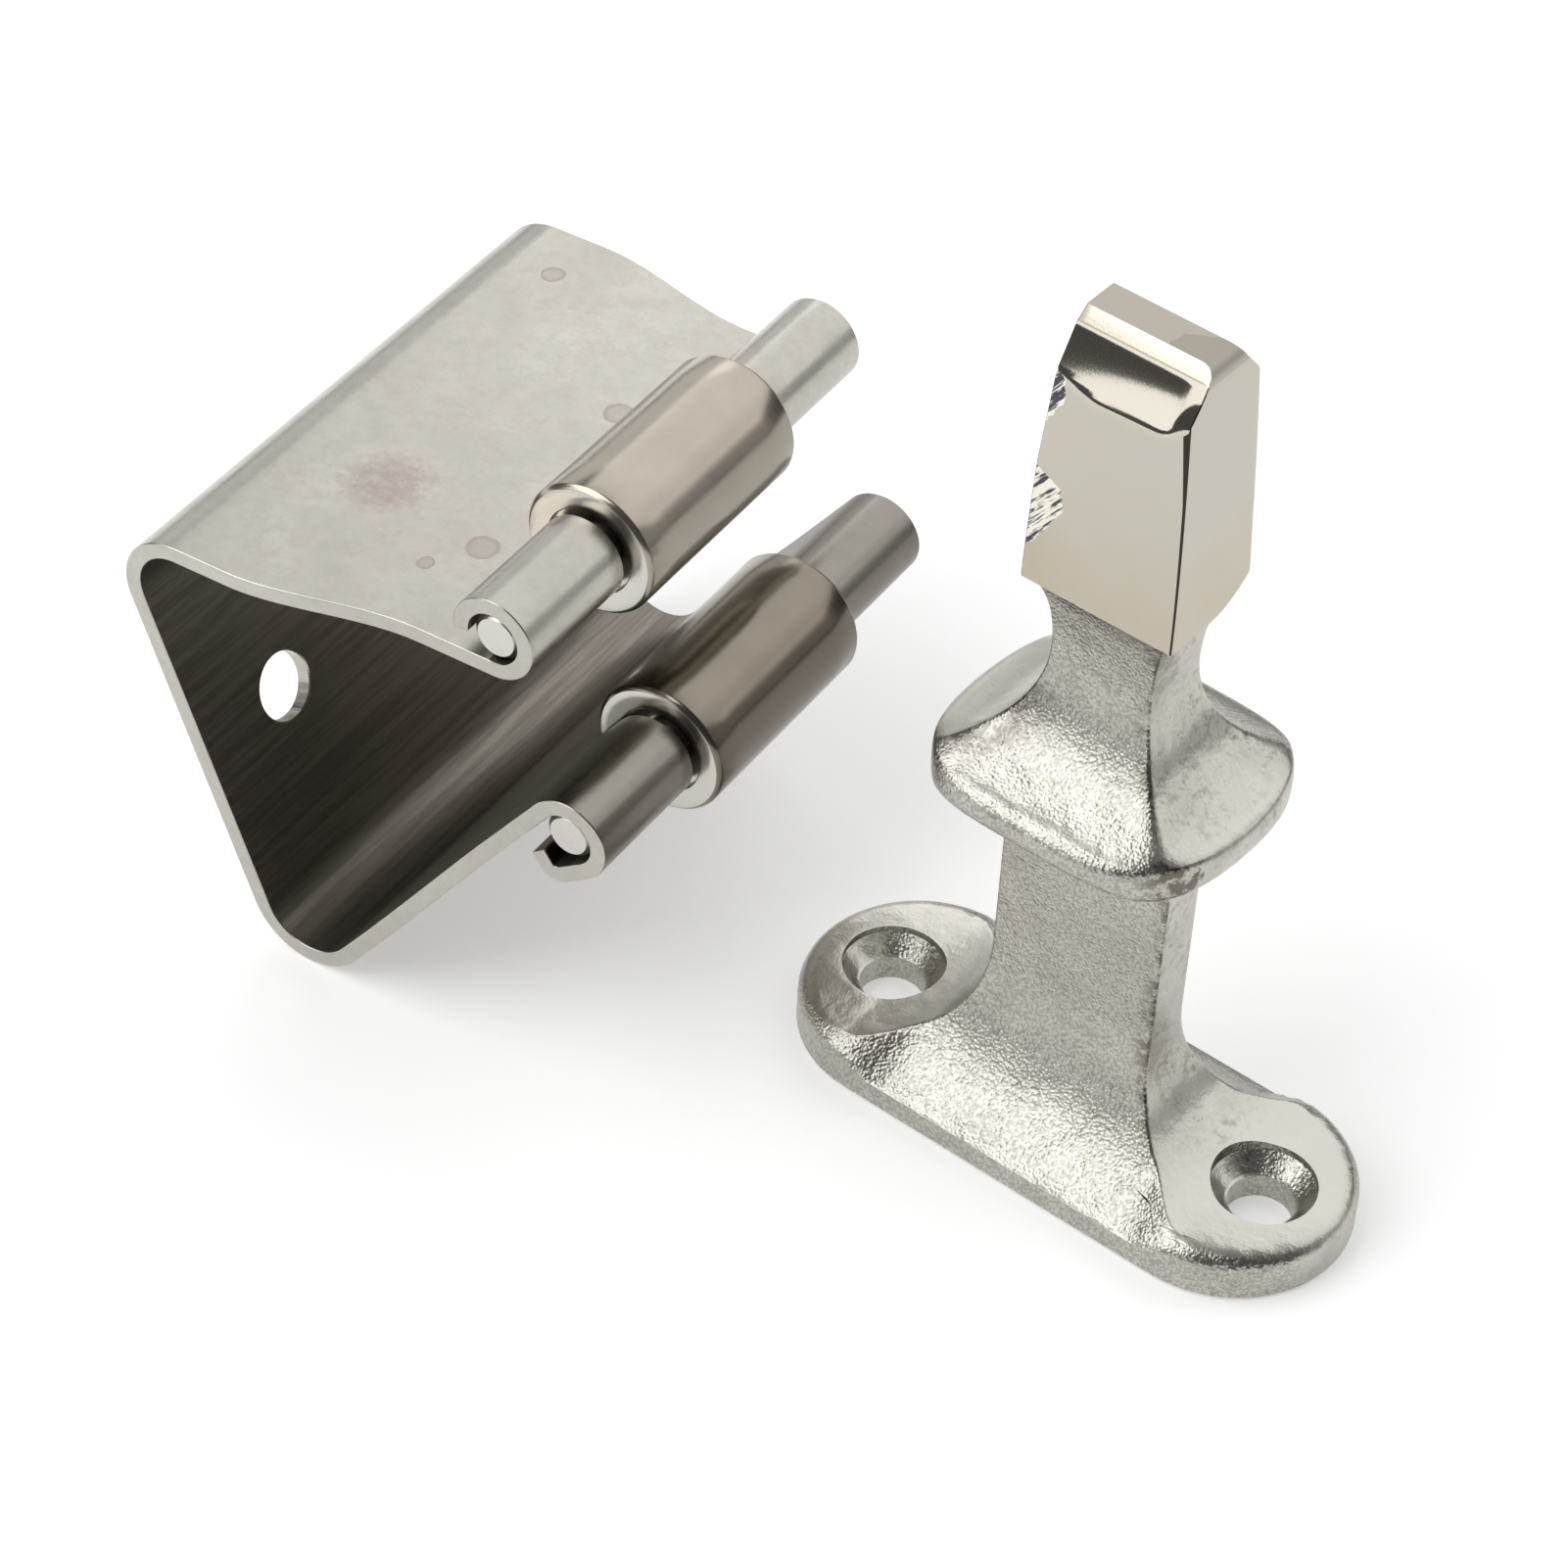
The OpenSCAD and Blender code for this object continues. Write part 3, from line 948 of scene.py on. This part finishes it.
    def distance_from_line(self, place, direction):
        """Distance from a line through a point, in mm."""
        offset = self.node("ShaderNodeVectorMath", operation="SUBTRACT")
        self.feed(offset.inputs[0], self.here)
        offset.inputs[1].default_value = place
        across = self.node("ShaderNodeVectorMath", operation="CROSS_PRODUCT")
        self.feed(across.inputs[0], offset.outputs[0])
        across.inputs[1].default_value = direction
        length = self.node("ShaderNodeVectorMath", operation="LENGTH")
        self.feed(length.inputs[0], across.outputs[0])
        return self.over(length.outputs["Value"], MM)

    def above(self, value, place, blend):
        """Rises from 0 to 1 where a length passes a place, over a blend, both in mm."""
        past = self.minus(value, place * MM)
        return self.over(past, blend * MM, clamp=True)

    def parts(self, vector=None):
        """X, Y and Z of a vector, or of the point's place at rest."""
        made = self.node("ShaderNodeSeparateXYZ")
        self.feed(made.inputs[0], vector or self.here)
        return made.outputs

    def normal(self):
        """Direction that the surface faces."""
        return self.node("ShaderNodeNewGeometry").outputs["Normal"]

    def inside(self, middle):
        """1 on surfaces that face the point, 0 on those that face away from it."""
        inwards = self.node("ShaderNodeVectorMath", operation="SUBTRACT")
        inwards.inputs[0].default_value = middle
        self.feed(inwards.inputs[1], self.here)
        inwards_unit = self.node("ShaderNodeVectorMath", operation="NORMALIZE")
        self.feed(inwards_unit.inputs[0], inwards.outputs[0])
        facing = self.node("ShaderNodeVectorMath", operation="DOT_PRODUCT")
        self.feed(facing.inputs[0], inwards_unit.outputs[0])
        self.feed(facing.inputs[1], self.normal())
        return self.ramp(facing.outputs["Value"], (0.1, 0.0), (0.3, 1.0))

    def finish(self, colour, roughness, normal):
        """Feeds the shader, and gives the material."""
        self.feed(self.shader.inputs["Base Color"], colour)
        self.feed(self.shader.inputs["Roughness"], roughness)
        self.feed(self.shader.inputs["Normal"], normal)
        return self.material


def cast_metal():
    """Bright casting with a tight grain; above the neck it is ground and polished."""
    r = Recipe("cast_steel", 0.3)
    facing = r.parts(r.normal())
    ragged = r.times(r.minus(r.noise(1.6, 3), 0.5), 0.6 * MM)
    head = r.above(r.plus(r.parts()[2], ragged), HEAD_BOTTOM, 0.1)
    cast = r.minus(1.0, head)
    grain, _ = r.cell(0.22, "SMOOTH_F1")
    front = r.ramp(r.unsigned(facing[1]), (0.3, 0.25), (0.5, 1.0))
    grain_strength = r.times(cast, front)
    frontal = r.is_less(facing[1], -0.3)
    insets = ridge_insets(r)

    colour = cast_colour(r, facing, cast, grain, grain_strength)
    colour = painted_ridge_reflections(r, colour, frontal, *insets)
    colour = r.mix(head, colour, head_colour(r, frontal, *insets))
    surface = cast_surface(r, head, cast, grain, grain_strength)
    return r.finish(colour, cast_roughness(r, facing, head), surface)


def cast_surface(r, head, cast, grain, grain_strength):
    """Waves and a tight grain in the casting, and fine grinding lines on the head."""
    waves = r.bump(r.noise(2.6, 2, 0.5), 0.25, r.times(cast, 0.6))
    rough = r.bump(grain, -0.062, grain_strength, waves)
    lines = r.noise(0.14, 2, 0.5, r.stretched((1.0, 1.0, 14.0)))
    return r.bump(lines, 0.004, r.times(head, 0.35), rough)


def cast_roughness(r, facing, head):
    """Smoother on the head, but satin on its rounded +X top."""
    rounded_top = r.above(r.parts()[2], STRIKE_HEIGHT - 1.4, 0.2)
    rounded_top = r.times(rounded_top, r.is_more(facing[0], 0.1))
    return r.mix(rounded_top, r.ramp(head, (0.0, 0.31), (1.0, 0.09)), (0.45, 0.45, 0.45))


def cast_colour(r, facing, cast, grain, grain_strength):
    """Clouded grey with dark hollows in its grain and small specks, painted lighter where it
    faces up, and blotched on its +X faces."""
    colour = r.ramp(r.noise(5.0, 3, 0.6), (0.35, CAST_DULL), (0.7, CAST_BRIGHT))
    hollows = r.times(r.ramp(grain, (0.28, 0.0), (0.55, 0.5)), grain_strength)
    colour = r.mix(hollows, colour, GRAIN_HOLLOW)
    specks = r.ramp(r.noise(0.35, 2, 0.7), (0.60, 0.0), (0.70, 1.0))
    specks = r.times(specks, r.ramp(r.noise(3.5, 2), (0.45, 0.0), (0.65, 0.6)))
    colour = r.mix(r.times(specks, cast), colour, CAST_SPECK)
    # Painted light on faces that look up
    level = r.ramp(facing[2], (0.85, 0.0), (0.97, 0.8))
    colour = r.mix(level, colour, CAST_LEVEL_LIGHT)
    blotches = r.ramp(r.noise(0.8, 4, 0.75), (0.50, 0.0), (0.60, 0.6))
    blotches = r.times(blotches, r.ramp(r.noise(4.0, 2), (0.42, 0.0), (0.60, 1.0)))
    blotches = r.times(blotches, r.ramp(facing[0], (0.25, 0.0), (0.45, 1.0)))
    return r.mix(r.times(blotches, cast), colour, CAST_BLOTCH)


def ridge_insets(r):
    """Distances in mm from the strike's +X and -X corners, which run up through its levels."""
    x, _, z = r.parts()
    widest = 20.0
    collar_corner = 10.1
    stops = [
        (height / STRIKE_HEIGHT, min(half_x, collar_corner) / widest)
        for height, half_x, _, _ in strike_levels()[::5]
    ]
    corner = r.ramp(r.over(z, STRIKE_HEIGHT * MM), *stops)
    across = r.over(x, MM)
    inset = r.minus(r.times(corner, widest), across)
    return inset, r.plus(inset, r.times(across, 2.0))


def painted_ridge_reflections(r, colour, frontal, inset, far_inset):
    """Painted dark reflections: flecks along the front's +X ridge, and a patch by the collar's -X
    corner.
    """
    z = r.parts()[2]
    # Painted dark reflection along the +X ridge, broken into flecks
    flecks = r.ramp(r.noise(1.4, 4, 0.7), (0.46, 0.0), (0.56, 0.8))
    ridge_reflection = r.times(r.minus(1.3, r.times(inset, 0.8)), flecks, clamp=True)
    ridge_reflection = r.times(r.times(ridge_reflection, frontal), r.above(z, 5.5, 3.0))
    colour = r.mix(ridge_reflection, colour, RIDGE_DARK_REFLECTION)
    # Painted dark reflection on the collar's slope by its -X corner
    near = r.minus(1.0, r.over(far_inset, 4.5), clamp=True)
    share = r.over(z, 50 * MM)
    on_slope = r.ramp(share, (0.73, 0.0), (0.77, 1.0), (0.85, 0.8), (0.92, 0.0))
    collar_reflection = r.times(r.times(near, on_slope), frontal)
    collar_reflection = r.times(collar_reflection, r.ramp(r.noise(1.6, 3, 0.7), (0.38, 0.0), (0.55, 1.0)))
    return r.mix(collar_reflection, colour, COLLAR_DARK_REFLECTION)


def head_colour(r, frontal, inset, far_inset):
    """Polished head: a little straw tint low down, a painted dark reflection along its +X front
    edge, painted shade on the crown and top, and painted streaked reflections near its -X front
    edge."""
    z = r.parts()[2]
    rise = r.over(r.minus(z, HEAD_BOTTOM * MM), (SHOULDER_HEIGHT - HEAD_BOTTOM) * MM)
    straw = r.times(r.noise(7.0, 2), r.ramp(rise, (0.05, 1.5), (0.45, 0.5)), clamp=True)
    colour = r.mix(straw, HEAD_PLAIN, HEAD_STRAW)
    line_width = r.ramp(rise, (0.0, 0.14), (0.6, 0.22), (0.86, 0.55), (0.88, 0.14))
    # Painted dark reflection along the +X front edge
    line = r.times(r.is_less(inset, line_width), frontal)
    colour = r.mix(line, colour, HEAD_EDGE_REFLECTION)
    # Painted shade on the crown facet and on the top, to dim their highlights
    crown = r.times(r.above(z, SHOULDER_HEIGHT, 0.02), frontal)
    colour = r.mix(crown, colour, CROWN_SHADE)
    colour = r.mix(r.above(z, STRIKE_HEIGHT - 0.7, 0.7), colour, TOP_SHADE)

    # Painted dark and bright streaked reflections near the -X front edge
    turned = r.stretched((1.0, 1.0, 9.0), (0.0, math.radians(38), 0.0))
    reflection_streaks = r.ramp(r.noise(0.5, 3, 0.7, turned), (0.44, STREAK_DARK_REFLECTION), (0.50, STREAK_BRIGHT_REFLECTION))
    lower = r.ramp(rise, (0.10, 0.0), (0.20, 0.5), (0.34, 1.0), (0.42, 0.85), (0.48, 0.0))
    upper = r.ramp(rise, (0.62, 0.0), (0.68, 0.3), (0.76, 0.55), (0.82, 0.45), (0.86, 0.0))
    reach = r.times(r.plus(lower, upper), 3.1)
    reach = r.plus(reach, r.times(r.noise(0.6, 3, 0.7), -0.8))
    reflection_patch = r.times(r.is_less(far_inset, reach), frontal)
    return r.mix(reflection_patch, colour, reflection_streaks)


def sheet_metal():
    """Satin sheet, weathered outside, with painted shade where its faces look at each other."""
    r = Recipe("sheet_steel", 0.3)
    from_pit, chance = r.cell(2.4)
    pits = r.times(r.ramp(from_pit, (0.03, 1.0), (0.05, 0.0)), r.is_more(chance, 0.8))
    inside = r.inside(from_clip(14, 0, 0))
    along_rollers = r.stretched((1.0, 24.0, 1.0), (0.0, 0.0, CLIP_TURN))
    drawn = r.ramp(r.noise(0.7, 3, 0.7, along_rollers), (0.40, 0.0), (0.60, 1.0))
    # Painted shade on the faces that look into the clip, a little lighter along drawn lines that
    # run with the rollers
    inside_painted_shade = r.mix(drawn, INSIDE_PAINTED_SHADE, INSIDE_SHADE_DRAWN_LINES)
    colour = curl_shades(r, r.mix(inside, weathered_sheet(r, pits), inside_painted_shade))

    roughness = r.ramp(r.noise(5.0, 2, 0.5), (0.3, 0.24), (0.7, 0.32))
    roughness = r.mix(inside, roughness, (0.42, 0.42, 0.42))
    soft = r.bump(r.noise(7.0, 2), 0.05, 0.4)
    grain = r.bump(r.noise(0.12, 3, 0.6), 0.005, 0.6, soft)
    dents = r.bump(r.minus(1.0, pits), 0.03, 0.7, grain)
    return r.finish(colour, roughness, dents)


def weathered_sheet(r, pits):
    """Mottled grey with water spots, a brown stain, pits, hairlines and cloudy patches."""
    colour = r.ramp(r.noise(14.0, 3, 0.5), (0.3, SHEET_DULL), (0.7, SHEET_BRIGHT))
    mottle = r.ramp(r.noise(1.3, 4, 0.75), (0.42, 0.0), (0.75, 0.45))
    colour = r.mix(mottle, colour, SHEET_MOTTLE)
    wobble = r.times(r.noise(1.5, 2), 0.5)
    for spot in SPOTS:
        away = r.plus(r.distance(on_upper_arm(spot)), wobble)
        share = r.over(away, 1.6 * spot.radius)
        ring = r.ramp(share, (0.55, 0.45), (0.72, 0.85), (0.80, 0.0))
        colour = r.mix(ring, colour, SPOT_RING)
    away = r.over(r.distance(on_upper_arm(STAIN)), 1.5 * STAIN.radius)
    cloud = r.times(r.ramp(away, (0.3, 1.0), (1.0, 0.0)), r.noise(0.9, 4, 0.75))
    colour = r.mix(r.ramp(cloud, (0.25, 0.0), (0.55, 0.75)), colour, STAIN_BROWN)
    colour = r.mix(r.times(pits, 0.8), colour, PIT_DARK)
    hairs = r.noise(0.35, 3, 0.8, r.stretched((16.0, 1.0, 1.0), (0.0, 0.0, 0.6)))
    colour = r.mix(r.ramp(hairs, (0.70, 0.0), (0.78, 0.35)), colour, HAIRLINE)
    clouds = r.times(r.noise(9.0, 3, 0.5), r.noise(0.8, 3, 0.7))
    return r.mix(r.ramp(clouds, (0.30, 0.0), (0.42, 0.35)), colour, SHEET_CLOUD)


def curl_shades(r, colour):
    """Paints shade inside both curls, and brownish shade on the outside of the lower one, deepest
    where it turns towards +X.
    """
    away = {}
    for level, side in (("upper", 1), ("lower", -1)):
        axis_place = from_clip(ROLLER_REACH, 0, side * ROLLER_AXIS)
        away[level] = r.distance_from_line(axis_place, clip_along)
        # Painted shade inside the curl round each pin
        hollow = r.is_less(away[level], CURL_RADIUS - HALF_SHEET + 0.05)
        colour = r.mix(hollow, colour, CURL_INSIDE_SHADE)
    lower_curl = r.ramp(r.over(away["lower"], 10.0), (0.37, 1.0), (0.43, 0.0))
    rolled = r.is_less(r.unsigned(r.parts(r.normal())[1]), 0.6)
    # Painted brownish shade on the lower curl's outside, deeper where it turns towards +X
    lower_curl_shade = r.times(r.times(lower_curl, rolled), 0.65)
    colour = r.mix(lower_curl_shade, colour, LOWER_CURL_SHADE)
    return r.mix(r.times(lower_curl_shade, underside(r)), colour, CURL_UNDERSIDE_SHADE)


def underside(r):
    """Rises to 0.8 on surfaces that turn away towards +X, where less light falls."""
    return r.ramp(r.parts(r.normal())[0], (0.50, 0.0), (0.90, 0.8))


def turned_metal(name, roughness, tint, shade_share):
    """Turned bar with fine rings round its axis, a painted highlight on its end faces and painted
    shade towards +X.
    """
    r = Recipe(name, roughness, 0.25)
    pale = tuple(min(1.0, c * 1.1) for c in tint)
    colour = r.mix(r.ramp(r.noise(4.0, 3, 0.6), (0.35, 0.0), (0.7, 1.0)), tint, pale)
    dirt = r.ramp(r.noise(1.1, 3, 0.7), (0.66, 0.0), (0.76, 0.3))
    colour = r.mix(dirt, colour, TURNED_DIRT)
    colour = r.mix(r.times(underside(r), shade_share), colour, TURNED_SHADE)
    # Painted highlight on the end faces
    ends = r.is_more(r.unsigned(r.parts(r.normal())[1]), 0.9)
    colour = r.mix(ends, colour, TURNED_END_HIGHLIGHT)
    rings = r.noise(0.2, 2, 0.6, r.stretched((30.0, 1.0, 30.0), (0.0, 0.0, CLIP_TURN)))
    rough = r.ramp(r.noise(2.0, 3, 0.6), (0.3, roughness * 0.9), (0.7, roughness * 1.15))
    return r.finish(colour, rough, r.bump(rings, 0.008, 0.5))


# ---------------------------------------------------------------- the object

sheet_finish = sheet_metal()
# The lower roller is the same steel as the upper one, painted darker as shade and with more
# painted shade towards +X
roller_finish = {
    "upper": turned_metal("roller_steel_upper", 0.22, UPPER_ROLLER, 0.55),
    "lower": turned_metal("roller_steel_lower_shaded", 0.20, LOWER_ROLLER_SHADED, 1.0),
}
pin_finish = turned_metal("pin_steel", 0.25, PIN_STEEL, 1.0)


def keep_rest_place(made):
    """Keeps each point's place, so that the metal's pattern moves and bends with the piece."""
    kept = made.data.attributes.new(REST_PLACE, "FLOAT_VECTOR", "POINT")
    kept.data.foreach_set("vector", [c for vertex in made.data.vertices for c in vertex.co])


def dress(made, material):
    """Gives a piece its metal, and keeps where each of its points is at rest."""
    made.data.materials.clear()
    made.data.materials.append(material)
    keep_rest_place(made)


casting = strike()
dress(casting, cast_metal())
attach(casting, "strike")
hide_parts("strike_post")

sheet_upper = bent_sheet("sheet_upper", PLATE_SEAM, 1, UPPER_BEND, UPPER_CURL)
sheet_lower = bent_sheet("sheet_lower", -PLATE_SEAM, -1, LOWER_BEND, LOWER_CURL)
for side in (-1, 1):
    cut(sheet_lower, plate_hole(side))
bend_start, bend_end = from_clip(FLEX_START, 0, 0), from_clip(FLEX_END, 0, 0)
for made, arm in ((sheet_upper, "arm_upper"), (sheet_lower, "arm_lower")):
    dress(made, sheet_finish)
    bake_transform(made)
    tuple(bend_start)
    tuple(bend_end)
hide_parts("clip_arm_upper", "clip_back_plate")
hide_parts("clip_arm_lower")

for level, side in (("upper", 1), ("lower", -1)):
    axle = pin("pin_turned_" + level, side)
    dress(axle, pin_finish)
    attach(axle, "arm_" + level)
    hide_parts("pin_" + level)
    wheel = roller("roller_turned_" + level, side)
    dress(wheel, roller_finish[level])
    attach(wheel, "roller_" + level)
    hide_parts("roller_" + level)

# ---------------------------------------------------------------- the studio

FLOOR_HALF = 1.0
FLOOR_DROP = 0.05
FLOOR_GLOW = 0.35
LIGHT_DISTANCE = 1.0
CAMERA_PLACE = (136.3, -222.2, 274.6)
CAMERA_RIGHT = (0.777, 0.628, 0.042)
CAMERA_BACK = (0.437, -0.586, 0.682)
CAMERA_LENS = 112.4


def floor():
    """Pale floor that glows a little, so that it reads as white."""
    corners = [(-1, -1), (1, -1), (1, 1), (-1, 1)]
    points = [(x * FLOOR_HALF, y * FLOOR_HALF, 0.0) for x, y in corners]
    made = build("floor", points, [(0, 1, 2, 3)])
    material = bpy.data.materials.new("floor")
    material.use_nodes = True
    shader = material.node_tree.nodes["Principled BSDF"]
    shader.inputs["Base Color"].default_value = (0.9, 0.9, 0.9, 1.0)
    shader.inputs["Emission Color"].default_value = (1.0, 1.0, 1.0, 1.0)
    shader.inputs["Emission Strength"].default_value = FLOOR_GLOW
    shader.inputs["Roughness"].default_value = 0.9
    made.data.materials.append(material)
    made.location.z = -FLOOR_DROP * MM


def softbox(name, direction, width, depth, brightness):
    """Area light in a direction from the object, turned to face it. Brightness is what a
    mirror shows of it."""
    data = bpy.data.lights.new(name, "AREA")
    data.shape = "RECTANGLE"
    data.size, data.size_y = width, depth
    data.energy = brightness * math.pi * width * depth
    made = bpy.data.objects.new(name, data)
    bpy.context.scene.collection.objects.link(made)
    away = Vector(direction).normalized()
    made.location = away * LIGHT_DISTANCE
    made.rotation_mode = "QUATERNION"
    made.rotation_quaternion = (-away).to_track_quat("-Z", "Y")
    made.visible_camera = False


def studio_air(brightness):
    """Even light from all round."""
    world = bpy.data.worlds.new("studio")
    world.use_nodes = True
    world.node_tree.nodes["Background"].inputs["Color"].default_value = (1, 1, 1, 1)
    world.node_tree.nodes["Background"].inputs["Strength"].default_value = brightness
    bpy.context.scene.world = world


def camera():
    """Camera at the photo's viewing angle."""
    data = bpy.data.cameras.new("camera")
    data.lens = CAMERA_LENS
    data.clip_start = 0.01
    right = Vector(CAMERA_RIGHT).normalized()
    back = Vector(CAMERA_BACK)
    back = (back - right * back.dot(right)).normalized()
    up = back.cross(right)
    made = bpy.data.objects.new("camera", data)
    made.matrix_world = Matrix.Translation(Vector(CAMERA_PLACE) * MM) @ (
        Matrix((right, up, back)).transposed().to_4x4()
    )
    bpy.context.scene.collection.objects.link(made)
    bpy.context.scene.camera = made


floor()
softbox("back", (0.05, 0.66, 0.75), 1.9, 0.9, 1.15)
softbox("right", (0.76, 0.58, 0.28), 0.7, 0.45, 0.45)
softbox("left", (-0.78, 0.54, 0.33), 0.8, 0.5, 0.8)
softbox("key", (-0.44, -0.40, 0.80), 1.0, 0.8, 2.4)
softbox("low", (-0.44, -0.80, 0.42), 0.9, 0.42, 1.65)
studio_air(0.10)
camera()
bpy.context.scene.view_settings.view_transform = "Standard"
